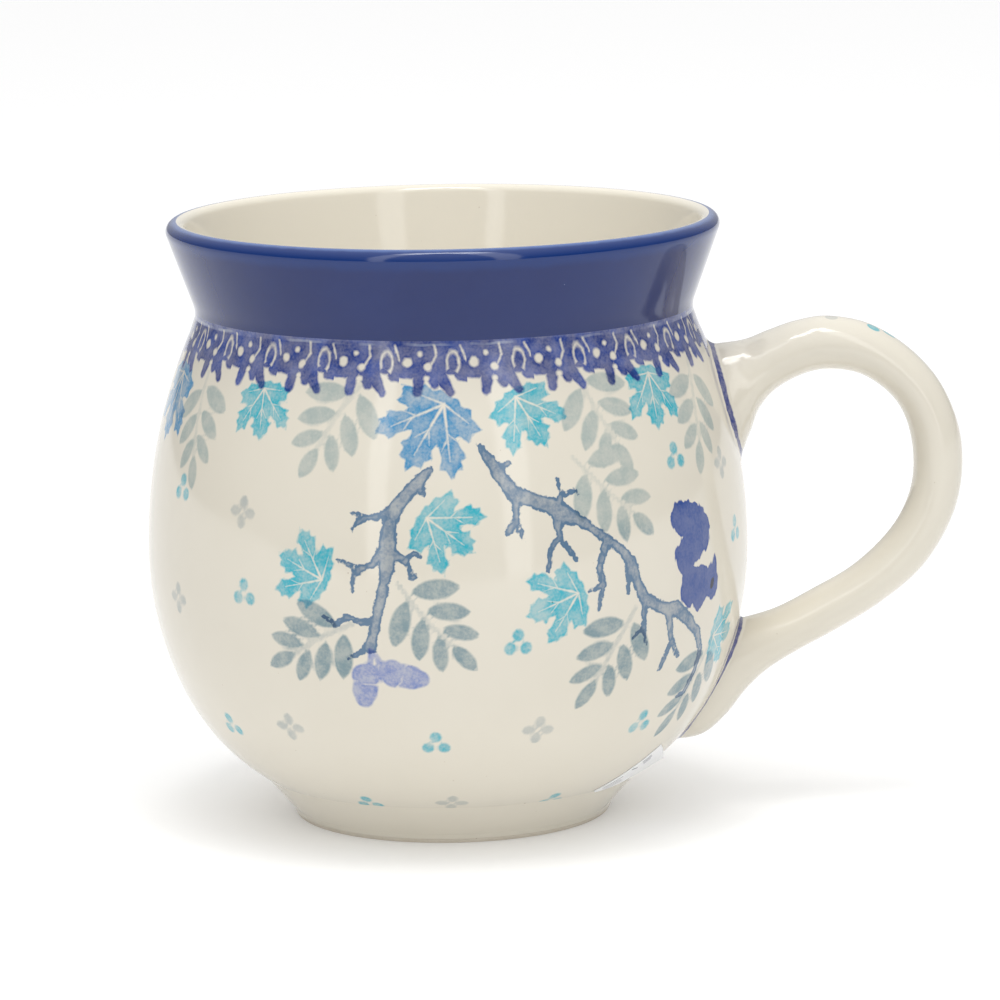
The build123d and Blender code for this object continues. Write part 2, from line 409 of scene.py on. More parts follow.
# ---------------------------------------------------------------------------------------------
# The liner: a clear glossy glaze poured in and out again, over cream clay. It runs up to the
# crown of the lip, where it meets the cobalt.
# ---------------------------------------------------------------------------------------------
cream_glaze, _, cream_exit = new_group("cream glaze", [], [("Colour", "colour"), ("Waves", "value")])
cloud = noise(cream_glaze, 22, 3) + 0.5
cream = blended(cream_glaze, "MIX", cloud, (0.700, 0.655, 0.553, 1), (0.740, 0.698, 0.604, 1))
flecks = speck_mask(cream_glaze, 5.5, 0.19, 0.30, 1.0)
cream = blended(cream_glaze, "MIX", flecks * 0.65, cream, (0.30, 0.20, 0.12, 1))
fine_flecks = speck_mask(cream_glaze, 2.4, 0.12, 0.22, 5.0)
cream = blended(cream_glaze, "MIX", fine_flecks * 0.38, cream, (0.42, 0.33, 0.24, 1))
cream_glaze.links.new(cream.socket, cream_exit.inputs["Colour"])
waves = noise(cream_glaze, 9, 2) + noise(cream_glaze, 1.6, 1) * 0.05 - flecks * 0.10
cream_glaze.links.new(waves.socket, cream_exit.inputs["Waves"])

GLAZE_WAVE = 0.045  # depth in millimetres of the slow unevenness that bends reflections
GLOSS = 0.09
liner_material, tree, shader = new_material("clear liner glaze", GLOSS, 1.5)
glaze = place(tree, cream_glaze)
# The liner's cream is mixed halfway with a paler cream. This is painted light: it stands in for the light
# that falls in through the cup's mouth onto the inner wall.
liner_painted_light = blended(tree, "MIX", 0.5, glaze["Colour"], (0.84, 0.79, 0.67, 1))
tree.links.new(liner_painted_light.socket, shader.inputs["Base Color"])
bumpy(tree, shader, glaze["Waves"], GLAZE_WAVE)

inner = inner_face(0.9)
lip = lip_face(0.25)
crown = [i for i, (distance, _) in enumerate(lip) if distance < LIP_CENTRE[0]][0]
liner_line = lip[crown:] + inner[::-1][1:]
liner = coat("liner_coat", liner_line, turns=288)
liner.data.materials.append(liner_material)
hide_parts("liner_glaze")

# ---------------------------------------------------------------------------------------------
# The coat in the hollow under the base: the same clear glaze, brushed on thinly inside the foot
# ring, left plain.
# ---------------------------------------------------------------------------------------------
base_line = straight((0, RECESS_DEPTH), (RECESS_RADIUS - RECESS_FLARE * RECESS_DEPTH, RECESS_DEPTH), 0.8)
base_line += straight(base_line[-1], (RECESS_RADIUS - RECESS_FLARE * BARE_HEIGHT, BARE_HEIGHT), 0.4)[1:]
base = coat("base_coat", base_line, turns=192)
# The base coat shares the liner's material, so it also gets the paler cream of painted light.
base.data.materials.append(liner_material)
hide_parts("base_glaze")

# ---------------------------------------------------------------------------------------------
# The cobalt collar: the rim was dipped in a strong cobalt slip before glazing. It shows a
# stronger blue near the lip, and breaks thin and brighter over the crown.
# ---------------------------------------------------------------------------------------------
collar_material, tree, shader = new_material("cobalt collar glaze", GLOSS, 1.5)
glaze = place(tree, cream_glaze)
height = split(tree, object_place(tree))[2] / MM
cobalt = blended(tree, "MIX", noise(tree, 14, 4) + 0.5, (0.003, 0.014, 0.100, 1), (0.008, 0.027, 0.148, 1))
pooled = (height + noise(tree, 5, 2)).step(96.2, 97.6)
cobalt = blended(tree, "MIX", pooled * 0.75, cobalt, (0.006, 0.035, 0.180, 1))
thinned = (height + noise(tree, 2.5, 3) * 0.3).step(TOP - 0.45, TOP)
cobalt = blended(tree, "MIX", thinned * 0.7, cobalt, (0.08, 0.16, 0.42, 1))
white_specks = speck_mask(tree, 2.6, 0.10, 0.18, 9.0)
cobalt = blended(tree, "MIX", white_specks * 0.5, cobalt, (0.32, 0.40, 0.62, 1))
tree.links.new(cobalt.socket, shader.inputs["Base Color"])
bumpy(tree, shader, glaze["Waves"], GLAZE_WAVE)

outer = outer_face(0.62)
collar_start = [i for i, (_, height_here) in enumerate(outer) if height_here > COLLAR_EDGE][0]
collar_line = outer[collar_start:] + lip[1 : crown + 1]
collar = coat("cobalt_collar", collar_line, turns=384)
collar.data.materials.append(collar_material)
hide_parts("collar_glaze")

# ---------------------------------------------------------------------------------------------
# The belly's coat: clear gloss over marks stamped and brushed in underglaze colours. Each mark
# is drawn as a distance inside its own edge, in millimetres, and kept as an attribute.
# ---------------------------------------------------------------------------------------------
BELLY_TURNS = 504
belly_line = outer[: collar_start + 1]
belly = coat("decorated_coat", belly_line, BELLY_TURNS, thin_rings=10)

face_points = np.array(belly_line)
face_rise = np.concatenate(([0], np.cumsum(np.linalg.norm(np.diff(face_points, axis=0), axis=1))))
face_azimuth = np.arange(BELLY_TURNS) * 360 / BELLY_TURNS
NOWHERE = -9.0  # the depth inside a mark where there is no mark
belly_marks = {kind: np.full((len(face_points), BELLY_TURNS), NOWHERE) for kind in
               ("leaf", "spray", "twig", "acorn", "squirrel", "eye", "dots", "flowers")}
leaf_place = np.zeros((len(face_points), BELLY_TURNS, 3))


class Spot:
    """The stretch of belly round one mark, with each point's place in the mark's own frame.

    x runs to the mark's right and y along its heading, in millimetres. The heading is in degrees
    anticlockwise from the mug's right-hand side, seen from outside.
    """

    def __init__(self, azimuth, height, heading, reach):
        rise = np.interp(height, face_points[:, 1], face_rise)
        self.rows = np.abs(face_rise - rise) < reach
        across = np.radians((face_azimuth - azimuth + 180) % 360 - 180)
        self.columns = np.abs(across) < reach / np.interp(height, face_points[:, 1], face_points[:, 0])
        u = across[self.columns][None, :] * face_points[self.rows, 0][:, None]
        v = (face_rise[self.rows] - rise)[:, None] + 0 * u
        turn = math.radians(heading)
        self.x = u * math.sin(turn) - v * math.cos(turn)
        self.y = u * math.cos(turn) + v * math.sin(turn)
        self.window = np.ix_(self.rows, self.columns)

    def draw(self, kind, depth):
        """Adds a mark, given each point's depth inside its edge."""
        belly_marks[kind][self.window] = np.maximum(belly_marks[kind][self.window], depth)


def along_and_gap(x, y, ax, ay, bx, by):
    """How far along a line from a to b each point lies, from 0 to 1, and its gap from the line."""
    east, north = bx - ax, by - ay
    along = np.clip(((x - ax) * east + (y - ay) * north) / (east**2 + north**2), 0, 1)
    return along, np.hypot(x - ax - along * east, y - ay - along * north)


def inside_outline(x, y, outline):
    """Depth inside a closed outline of straight sides, negative outside it."""
    nearest = np.full(x.shape, np.inf)
    inside = np.zeros(x.shape, bool)
    for (ax, ay), (bx, by) in zip(outline, np.roll(outline, -1, axis=0)):
        nearest = np.minimum(nearest, along_and_gap(x, y, ax, ay, bx, by)[1])
        crosses = (ay > y) != (by > y)
        inside ^= crosses & (x < (bx - ax) * (y - ay) / (by - ay + 1e-12) + ax)
    return np.where(inside, nearest, -nearest)


def inside_stroke(x, y, stroke):
    """Depth inside a stroke, a list of (x, y, half width) that it runs through."""
    depth = np.full(x.shape, NOWHERE)
    for (ax, ay, start_width), (bx, by, end_width) in zip(stroke[:-1], stroke[1:]):
        along, gap = along_and_gap(x, y, ax, ay, bx, by)
        depth = np.maximum(depth, start_width + along * (end_width - start_width) - gap)
    return depth


def inside_leaflet(x, y, half_length, half_width):
    """Depth inside a plump pointed oval that lies along y."""
    return half_width * (1 - np.abs(y / half_length) ** 2.5) - np.abs(x)


# Half of a five-lobed leaf whose veins meet at (0, 0), for a leaf one unit long from there
HALF_LEAF = [
    (0.0, -0.12), (0.13, -0.15), (0.21, -0.08), (0.35, -0.11), (0.40, -0.02), (0.62, 0.05), (0.52, 0.16),
    (0.57, 0.28), (0.40, 0.26), (0.34, 0.30), (0.49, 0.39), (0.62, 0.44), (0.56, 0.52), (0.66, 0.61),
    (0.59, 0.65), (0.61, 0.81), (0.47, 0.73), (0.38, 0.77), (0.34, 0.63), (0.19, 0.49), (0.16, 0.61),
    (0.26, 0.71), (0.16, 0.75), (0.17, 0.88), (0.07, 0.87), (0.0, 1.02),
]
LEAF_OUTLINE = np.array(HALF_LEAF + [(-x, y) for x, y in HALF_LEAF[-2:0:-1]])
LEAF_VEINS = [
    # x, y, end x, end y, half width, all in leaf lengths
    (0.0, 0.0, 0.0, 0.76, 0.027), (0.0, 0.0, 0.45, 0.60, 0.025), (0.0, 0.0, 0.41, 0.06, 0.020),
    (0.0, 0.38, 0.11, 0.56, 0.016), (0.23, 0.31, 0.43, 0.34, 0.015), (0.27, 0.36, 0.29, 0.55, 0.015),
]


def draw_leaf(azimuth, height, heading, length, breadth, blue):
    """A five-lobed leaf; blue is 1 for a blue one and 0 for a turquoise one."""
    spot = Spot(azimuth, height, heading, 1.3 * length)
    x, y = spot.x / (length * breadth), spot.y / length
    depth = inside_outline(x, y, LEAF_OUTLINE) * length
    nearer = depth > belly_marks["leaf"][spot.window]
    own_place = np.stack((x, y, 0 * x + blue), axis=2)
    leaf_place[spot.window] = np.where(nearer[..., None], own_place, leaf_place[spot.window])
    spot.draw("leaf", depth)


STALK_DEPTH = -0.06  # no deeper than this, so that the stalks print paler than the leaflets


def draw_spray(azimuth, height, heading, length, spread=56, leaflet=4.0):
    """A compound leaf: a thin stalk with three pairs of leaflets and one at its tip."""
    spot = Spot(azimuth, height, heading, length + 3 * leaflet)
    stalk = [(0, -0.1 * length, 0.36), (0.4, 0.5 * length, 0.38), (0, length, 0.34)]
    spot.draw("spray", np.minimum(inside_stroke(spot.x, spot.y, stalk), STALK_DEPTH))
    for pair in range(3):
        size = leaflet * (1 - 0.11 * pair)
        for side in (-1, 1):
            turn = math.radians(side * spread * (1 - 0.16 * pair))
            middle_x = (0.9 + size) * math.sin(turn)
            middle_y = length * (0.08 + 0.31 * pair) + (0.9 + size) * math.cos(turn) + 0.3 * side
            along = (spot.x - middle_x) * math.sin(turn) + (spot.y - middle_y) * math.cos(turn)
            across = (spot.x - middle_x) * math.cos(turn) - (spot.y - middle_y) * math.sin(turn)
            spot.draw("spray", inside_leaflet(across, along, size, 0.40 * size))
    size = 0.72 * leaflet
    spot.draw("spray", inside_leaflet(spot.x, spot.y - length - size, size, 0.44 * size))


def draw_twig(azimuth, height, strokes):
    spot = Spot(azimuth, height, 90, 38)
    for stroke in strokes:
        spot.draw("twig", inside_stroke(spot.x, spot.y, stroke))


def draw_acorn(azimuth, height, heading):
    """A blunt nut in its cup, with a fine pale line left between the two."""
    spot = Spot(azimuth, height, heading, 8)
    x, y = spot.x, spot.y
    cup = inside_stroke(x, y, [(-0.3, -0.2, 2.0), (0.3, 0.2, 2.15)])
    nut = inside_stroke(x, y, [(0.0, 1.6, 2.1), (0.0, 3.0, 2.05), (-0.1, 4.4, 1.45)])
    spot.draw("acorn", np.minimum(np.maximum(cup, nut), np.abs(y - 1.6 + 0.1 * x ** 2) - 0.1))


def draw_acorn_stalks(azimuth, height):
    spot = Spot(azimuth, height, 90, 6)
    for stroke in ([(0, 0.3, 0.4), (-0.3, -3.0, 0.5)], [(0, 0.3, 0.4), (1.1, -1.4, 0.5), (1.9, -3.2, 0.6)]):
        spot.draw("acorn", inside_stroke(spot.x, spot.y, stroke))


SQUIRREL = [
    # its outline from the tip of the tail, clockwise
    (-5.1, 8.7), (-3.2, 9.2), (-2.9, 8.7), (-1.1, 8.7), (-0.8, 8.2), (1.3, 8.1), (1.5, 7.4), (3.0, 6.9),
    (3.0, 6.2), (4.0, 5.2), (4.4, 3.7), (4.0, 2.9), (3.9, 1.2), (3.3, 1.0), (2.2, -0.6), (1.8, 0.1),
    (0.9, -1.2), (-0.4, -1.6), (-1.3, -2.1), (-0.2, -2.1), (1.6, -2.2), (2.9, -2.9), (3.6, -3.2),
    (4.1, -1.2), (4.7, -2.5), (5.3, -0.7), (6.0, -2.0), (6.1, -3.9), (6.6, -5.4), (6.5, -7.2),
    (5.8, -8.2), (4.6, -8.6), (3.2, -7.8), (2.0, -8.6), (0.7, -9.9), (-0.3, -9.3), (-1.1, -8.0),
    (-2.0, -9.2), (-3.8, -7.8), (-4.7, -5.9), (-4.3, -4.2), (-4.0, -3.2), (-5.2, -1.8), (-5.9, -0.3),
    (-5.8, 1.5), (-4.4, 2.1), (-3.7, 3.1), (-5.2, 3.9), (-6.0, 5.1), (-6.3, 6.7),
]


def draw_squirrel(azimuth, height):
    spot = Spot(azimuth, height, 90, 15)
    spot.draw("squirrel", inside_outline(spot.x, spot.y, np.array(SQUIRREL)))
    spot.draw("eye", inside_stroke(spot.x, spot.y, [(4.5, -6.2, 0.55), (4.8, -5.3, 0.5)]))


DOT_RADIUS = 1.05


def draw_dots(azimuth, height):
    """Three dots in a triangle, each one touch of a round brush."""
    spot = Spot(azimuth, height, 90, 4)
    for x, y in ((0, 1.35), (-1.3, -0.85), (1.3, -0.85)):
        spot.draw("dots", DOT_RADIUS - np.hypot((spot.x - x) * 1.08, spot.y - y))


def draw_flower(azimuth, height):
    """Four petals in a cross, stamped in thin grey."""
    spot = Spot(azimuth, height, 84, 5)
    for turn in (0, 88, 180, 268):
        along = spot.x * math.sin(math.radians(turn)) + spot.y * math.cos(math.radians(turn))
        across = spot.x * math.cos(math.radians(turn)) - spot.y * math.sin(math.radians(turn))
        spot.draw("flowers", inside_leaflet(across, along - 1.6, 1.25, 0.85))


TALL_TWIG = [
    # each stroke is a branch of (x, y, half width)
    [(6.2, 14.2, 0.5), (4.6, 12.6, 1.1), (2.8, 10.6, 1.1), (0.8, 8.2, 1.2), (-0.2, 5.2, 1.2),
     (-0.5, 1.4, 1.6), (-0.6, -1.6, 1.3), (-1.1, -3.9, 0.8), (-1.2, -4.8, 1.0), (-2.2, -8.6, 0.8),
     (-3.0, -12.4, 0.9), (-3.5, -14.5, 0.9)],
    [(4.6, 11.6, 0.8), (5.4, 10.2, 0.3)],
    [(-0.2, 7.6, 0.8), (-2.4, 6.6, 0.55), (-4.4, 6.7, 0.5), (-6.2, 7.4, 0.4)],
    [(-4.2, 6.4, 0.45), (-5.4, 5.8, 0.4), (-6.2, 4.6, 0.35)],
    [(-1.2, 1.6, 0.8), (-3.0, -0.9, 0.6), (-5.0, -1.5, 0.5), (-6.8, -0.9, 0.45), (-8.8, -0.2, 0.3)],
    [(-4.2, -1.4, 0.5), (-5.9, -2.4, 0.45), (-6.4, -5.2, 0.35)],
    [(0.4, 0.8, 0.8), (2.4, 0.0, 0.5), (3.6, 1.0, 0.4), (4.8, 0.6, 0.45)],
    [(2.2, 0.1, 0.5), (3.2, -1.3, 0.45), (3.4, -2.9, 0.5), (4.3, -2.6, 0.3)],
    [(-2.6, -9.8, 0.6), (-4.9, -10.2, 0.5), (-7.2, -9.3, 0.5), (-9.2, -10.7, 0.5), (-11.4, -9.4, 0.3)],
    [(-3.3, -13.2, 0.9), (-4.9, -15.0, 0.5), (-7.2, -16.2, 0.35)],
]
LONG_TWIG = [
    [(-15.4, 14.6, 0.4), (-13.8, 12.0, 1.0), (-12.3, 9.2, 1.1), (-10.6, 6.6, 1.3), (-7.8, 5.4, 1.2),
     (-4.8, 4.2, 1.4), (-2.4, 2.8, 1.5), (0.2, 1.4, 1.0), (2.2, 0.1, 0.7), (4.6, -1.8, 0.8),
     (7.6, -4.0, 0.8), (9.4, -6.4, 1.1), (10.6, -9.8, 0.9), (12.0, -12.4, 1.1), (16.4, -14.8, 1.0),
     (19.2, -15.0, 1.3), (22.6, -17.6, 1.1), (25.6, -20.4, 0.9), (27.2, -24.0, 0.7), (26.4, -27.6, 0.6),
     (24.6, -31.0, 0.5), (22.6, -31.6, 0.4)],
    [(-12.6, 10.4, 0.7), (-10.8, 11.4, 0.35)],
    [(-10.4, 5.6, 0.8), (-10.5, 2.4, 0.5), (-12.0, 0.4, 0.55)],
    [(-10.5, 2.6, 0.5), (-9.5, -1.0, 0.35)],
    [(-3.6, 4.0, 0.7), (-2.7, 6.2, 0.45), (-3.2, 8.4, 0.3)],
    [(-2.7, 5.6, 0.4), (-0.6, 6.4, 0.45), (0.2, 5.6, 0.3)],
    [(-3.9, 2.4, 0.9), (-3.5, -0.8, 0.5), (-5.2, -2.6, 0.5), (-5.7, -6.0, 0.4)],
    [(-3.5, -1.0, 0.55), (-2.0, -3.2, 0.5), (-0.8, -4.6, 0.45)],
    [(4.6, -2.4, 0.8), (3.1, -6.4, 0.6), (3.9, -9.0, 0.6), (2.9, -13.3, 0.35)],
    [(3.4, -9.4, 0.5), (1.2, -9.9, 0.4)],
    [(8.6, -5.4, 0.7), (8.6, -11.0, 0.3)],
    [(11.9, -13.2, 0.7), (12.0, -17.2, 0.45), (12.6, -20.2, 0.3)],
    [(12.0, -17.0, 0.45), (9.9, -18.6, 0.3)],
    [(17.4, -15.6, 0.8), (18.5, -20.4, 0.6), (20.6, -23.6, 0.5)],
    [(18.5, -20.6, 0.55), (16.4, -25.2, 0.5)],
]


def decorate(turn):
    """One full picture, which goes round the mug twice; turn is in degrees."""
    for azimuth, height, heading, length, breadth, blue in (
        (-90.4, 75.5, -121, 12.3, 0.98, 1), (-165, 76.4, -95, 12.0, 0.95, 1), (-131, 76.8, -83, 8.7, 1.0, 0),
        (-75.6, 76.2, -62, 9.6, 0.96, 0), (-42, 77.6, -96, 9.6, 0.96, 0), (-113.8, 47.9, 155, 8.9, 1.05, 0),
        (-93.9, 58.1, -37, 9.6, 1.0, 0), (-65.8, 45.0, -160, 9.5, 1.0, 0), (-28.1, 33.1, -4, 8.5, 1.0, 0),
    ):
        draw_leaf(azimuth + turn, height, heading, length, breadth, blue)
    for azimuth, height, heading, length in (
        (-108, 78.2, -122, 12.2), (-151, 76.6, -82, 12.5), (-109, 40.6, -152, 11.0), (-98.5, 46.8, -50, 12.0),
        (-61, 78.6, -66, 12.5), (-64, 65.5, -44, 13.0), (-54, 40.4, -119, 12.0), (-26, 77.0, -108, 12.5),
        (-29, 32.0, -112, 12.0),
    ):
        draw_spray(azimuth + turn, height, heading, length)
    draw_twig(-100.7 + turn, 51.5, TALL_TWIG)
    draw_twig(-65 + turn, 55.0, LONG_TWIG)
    draw_acorn(-106 + turn, 32.5, -101)
    draw_acorn(-100.8 + turn, 33.0, -14)
    draw_acorn_stalks(-104.8 + turn, 36.6)
    draw_squirrel(-36.5 + turn, 48.2)
    for azimuth, height in (
        (-151.4, 59.2), (-131.1, 44.5), (-144.6, 20.3), (-93.3, 20.6), (-77.4, 37.6),
        (-46.1, 20.9), (-40.0, 64.2), (-19.5, 49.6), (-114.7, 7.9), (-59.8, 7.4),
    ):
        draw_dots(azimuth + turn, height)
    for azimuth, height in (
        (-131.9, 57.4), (-152.1, 41.1), (-125.4, 22.2), (-72.1, 22.3), (-90.3, 8.4), (-23.1, 61.1),
    ):
        draw_flower(azimuth + turn, height)


decorate(0)
decorate(180)


def keep_attribute(piece, name, values, back_value):
    """Keeps a value for each point of the face, and back_value for the points behind it."""
    width = values.shape[2] if values.ndim == 3 else 1
    whole = np.full((len(piece.data.vertices), width), back_value, np.float32)
    whole[: values.shape[0] * values.shape[1]] = values.reshape(-1, width)
    kind, slot = ("FLOAT_VECTOR", "vector") if width == 3 else ("FLOAT", "value")
    piece.data.attributes.new(name, kind, "POINT").data.foreach_set(slot, whole.ravel())


for kind, depth in belly_marks.items():
    keep_attribute(belly, kind, depth, NOWHERE)
keep_attribute(belly, "leaf_place", leaf_place, 0.0)

# A mark's colour lies on the ground like a wash: ragged at its edge, darker where it dried, and
# patchy within. Where two marks cross, both colours count.
stamped_mark, sockets, stamp_exit = new_group(
    "stamped mark",
    [("Ground", "colour", (1, 1, 1, 1)), ("Depth", "value", 0.0), ("Wash", "colour", (0.5, 0.5, 0.5, 1)),
     ("Soft", "value", 0.15), ("Ragged", "value", 0.1), ("Patchy", "value", 0.3), ("Rim", "value", 0.2)],
    [("Colour", "colour")],
)
edge = sockets["Depth"] + noise(stamped_mark, 0.9, 3) * sockets["Ragged"]
mask = edge.step(-sockets["Soft"], sockets["Soft"])
patch = (noise(stamped_mark, 2.6, 4) + noise(stamped_mark, 0.45, 2) * 0.5).step(-0.28, 0.3)
rim = (-edge).step(-0.55, -0.1) * sockets["Rim"]
strength = mask * (patch * sockets["Patchy"] - sockets["Patchy"] + 1 + rim)
paint = blended(stamped_mark, "MULTIPLY", strength.least(1.25), sockets["Ground"], sockets["Wash"])
stamped_mark.links.new(paint.socket, stamp_exit.inputs["Colour"])


def read_attribute(tree, name, output="Fac"):
    node = tree.nodes.new("ShaderNodeAttribute")
    node.attribute_name = name
    return Field(tree, node.outputs[output])


def joined(depths):
    """Several marks as one, from each one's depth."""
    whole = depths[0]
    for depth in depths[1:]:
        whole = whole.most(depth)
    return whole


def inside_segment(x, y, ax, ay, bx, by, start_width, end_width):
    """Depth inside a straight stroke, as a field."""
    length = math.hypot(bx - ax, by - ay)
    east, north = (bx - ax) / length, (by - ay) / length
    along = ((x - ax) * east + (y - ay) * north).most(0).least(length)
    gap = (x - along * east - ax).hypot(y - along * north - ay)
    return along * ((end_width - start_width) / length) - gap + start_width


belly_material, tree, shader = new_material("decorated glaze", GLOSS, 1.5)
glaze = place(tree, cream_glaze)
east, north, height = split(tree, object_place(tree))
height = height / MM
paint = glaze["Colour"]

leaf_x, leaf_y, leaf_blue = split(tree, read_attribute(tree, "leaf_place", "Vector").socket)
vein = joined([inside_segment(abs(leaf_x), leaf_y, ax, ay, bx, by, width, 0.3 * width)
               for ax, ay, bx, by, width in LEAF_VEINS])
LEAF_LENGTH = 10.0  # a typical one, which sets how far the veins' edges blur
veined_leaf = read_attribute(tree, "leaf").least(-vein * LEAF_LENGTH + 0.06)
upper = height.step(50, 58)
spray_wash = blended(tree, "MIX", upper, (0.26, 0.41, 0.53, 1), (0.52, 0.64, 0.71, 1))
leaf_wash = blended(tree, "MIX", leaf_blue, (0.05, 0.59, 0.86, 1), (0.055, 0.36, 0.81, 1))
# The squirrel's fur: fine upright nicks along its edge
fur = read_attribute(tree, "squirrel") + noise(tree, 0.75, 1, stretch=(1, 1, 0.3)) * 1.1
layers = [
    # depth, wash, softness, raggedness, patchiness, rim
    (read_attribute(tree, "spray"), spray_wash, 0.30, 0.15, 0.38, 0.02),
    (veined_leaf, leaf_wash, 0.20, 0.3, 0.48, 0.08),
    (read_attribute(tree, "twig"), (0.145, 0.27, 0.49, 1), 0.12, 1.0, 0.46, 0.36),
    (read_attribute(tree, "acorn"), (0.19, 0.30, 0.82, 1), 0.26, 0.15, 0.5, 0.06),
    (fur, (0.040, 0.105, 0.47, 1), 0.14, 0.2, 0.10, 0.03),
    (read_attribute(tree, "eye"), (0.10, 0.10, 0.12, 1), 0.14, 0.1, 0.1, 0.0),
    (read_attribute(tree, "dots"), (0.07, 0.58, 0.84, 1), 0.26, 0.15, 0.55, 0.0),
    (read_attribute(tree, "flowers"), (0.62, 0.69, 0.76, 1), 0.36, 0.15, 0.40, 0.0),
]
for depth, wash, soft, ragged, patchy, rim_share in layers:
    mark = place(tree, stamped_mark, Ground=paint, Depth=depth, Wash=wash, Soft=soft, Ragged=ragged,
                 Patchy=patchy, Rim=rim_share)
    paint = mark["Colour"]

# The lace border under the collar is one sponge stamp repeated round the waist. x runs along one
# repeat of it, from its straight tail, and y goes down from the collar's edge.
BORDER_REPEATS, BORDER_RADIUS = 25, 42.5
BORDER_START = 99.93  # in repeats, which sets where round the mug the first one falls
TAIL_PLACE = 3.3  # how far the straight tail lies into its repeat
border_length = 2 * math.pi * BORDER_RADIUS / BORDER_REPEATS
around = north.math("ARCTAN2", east) * (BORDER_REPEATS / (2 * math.pi))
wobble = noise(tree, 3.2, 2)
stamp_x = (around + BORDER_START).math("FRACT") * border_length - TAIL_PLACE + wobble * 0.5
stamp_y = -height + COLLAR_EDGE + noise(tree, 3.4, 2, shift=(3, 1, 2)) * 0.6
border = joined([inside_segment(stamp_x, stamp_y, *stroke) for stroke in (
    (-4.0, 1.8, 8.0, 1.8, 2.9, 2.9), (-2.8, 3.9, -1.6, 4.0, 1.35, 1.35), (-0.1, 4.0, -0.45, 7.2, 1.15, 0.75),
    (1.9, 4.6, 2.4, 6.1, 1.1, 0.75), (3.3, 5.0, 4.8, 7.3, 1.15, 0.65), (6.6, 4.5, 8.3, 4.6, 1.2, 1.3),
)])
for hole_x, hole_y, hole_radius in ((-0.1, 1.5, 0.42), (1.2, 3.6, 0.62), (-2.1, 2.8, 0.72), (1.0, 5.3, 0.45)):
    border = border.least((stamp_x - hole_x).hypot(stamp_y - hole_y) - hole_radius)
arch = abs((stamp_x - 5.2).hypot((stamp_y - 2.9) * 0.55) - 0.95) - 0.16
border = border.least(arch.most(stamp_y - 3.6 - abs(stamp_x - 4.8) * 0.7))
for line in ((2.2, 0.3, 2.5, 1.9), (2.5, 1.9, 1.6, 3.4), (6.5, 0.3, 7.3, 2.3), (7.3, 2.3, 8.0, 2.9)):
    border = border.least(-inside_segment(stamp_x, stamp_y, *line, 0.17, 0.13))
border = border.least(-height + COLLAR_EDGE + 1.6)
thin_paint = noise(tree, 3.5, 3).step(-0.2, 0.25)
border_wash = blended(tree, "MIX", thin_paint, (0.010, 0.045, 0.34, 1), (0.045, 0.11, 0.56, 1))
# A thin, broken pale-blue line along the collar's edge is a painted highlight: it stands for the light caught
# by the glaze's edge there.
painted_edge_highlight = (-abs(stamp_y - 0.1)).step(-0.32, -0.08) * noise(tree, 7, 2, shift=(5, 2, 1)).step(-0.05, 0.08) * 0.5
border_wash = blended(tree, "MIX", painted_edge_highlight, border_wash, (0.45, 0.55, 0.85, 1))
mark = place(tree, stamped_mark, Ground=paint, Depth=border, Wash=border_wash, Soft=0.26, Ragged=0.42,
             Patchy=0.22, Rim=0.05)
paint = mark["Colour"]
tree.links.new(paint.socket, shader.inputs["Base Color"])
bumpy(tree, shader, glaze["Waves"], GLAZE_WAVE)

belly.data.materials.append(belly_material)
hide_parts("belly_glaze")

# ---------------------------------------------------------------------------------------------
# The handle's glaze: the moulded strap was stuck on at both ends and dipped with the mug, so it
# wears the same clear coat. A few dots were brushed on its shoulder first.
# ---------------------------------------------------------------------------------------------
HANDLE_STATIONS = [
    # (outer x, z), (inner x, z), half width across the strap
    ((38.0, 76.4), (40.0, 57.0), 8.6), ((44.6, 77.7), (47.8, 58.4), 8.0), ((49.6, 78.4), (50.2, 62.4), 6.8),
    ((53.6, 79.9), (52.0, 67.0), 6.0), ((58.2, 81.4), (55.4, 70.6), 5.6), ((63.6, 82.1), (61.2, 73.1), 5.4),
    ((70.5, 80.6), (67.2, 72.9), 5.4), ((77.2, 76.3), (71.7, 70.7), 5.4), ((82.3, 70.3), (75.3, 66.9), 5.4),
    ((85.3, 62.6), (77.2, 61.6), 5.4), ((85.6, 54.6), (77.5, 55.2), 5.4), ((83.6, 47.2), (75.9, 49.6), 5.4),
    ((79.0, 39.8), (72.6, 44.7), 5.4), ((72.2, 34.0), (67.2, 39.8), 5.4), ((64.8, 29.5), (60.9, 36.2), 5.4),
    ((58.4, 26.1), (54.6, 33.0), 5.5), ((53.2, 22.9), (48.4, 31.2), 5.9), ((49.4, 19.4), (42.6, 29.8), 6.7),
    ((46.2, 15.4), (37.2, 26.6), 7.6), ((42.4, 12.2), (33.4, 23.0), 7.8), ((38.0, 11.3), (30.6, 19.6), 6.6),
    ((34.2, 12.2), (28.8, 17.2), 4.6),
]
HANDLE_RINGS, HANDLE_TURNS = 260, 96
HIDDEN = 1.2  # how far the coat's ends run on inside the belly's wall


def belly_radius(height):
    return np.interp(height, face_points[:, 1], face_points[:, 0])


def smooth_rows(rows, count):
    """The rows passed through smoothly, as this many rows at even distances."""
    rows = np.array(rows, float)
    ahead = np.vstack((2 * rows[0] - rows[1], rows, 2 * rows[-1] - rows[-2]))
    fine = []
    for before, start, end, after in zip(ahead[:-3], ahead[1:-2], ahead[2:-1], ahead[3:]):
        t = np.linspace(0, 1, 40, endpoint=False)[:, None]
        fine.append(start + 0.5 * t * (end - before + t * (2 * before - 5 * start + 4 * end - after
                                                          + t * (3 * start - before - 3 * end + after))))
    fine = np.vstack(fine + [rows[-1:]])
    walked = np.concatenate(([0], np.cumsum(np.linalg.norm(np.diff(fine[:, :2], axis=0), axis=1))))
    wanted = np.linspace(0, walked[-1], count)
    return np.stack([np.interp(wanted, walked, column) for column in fine.T], axis=1)


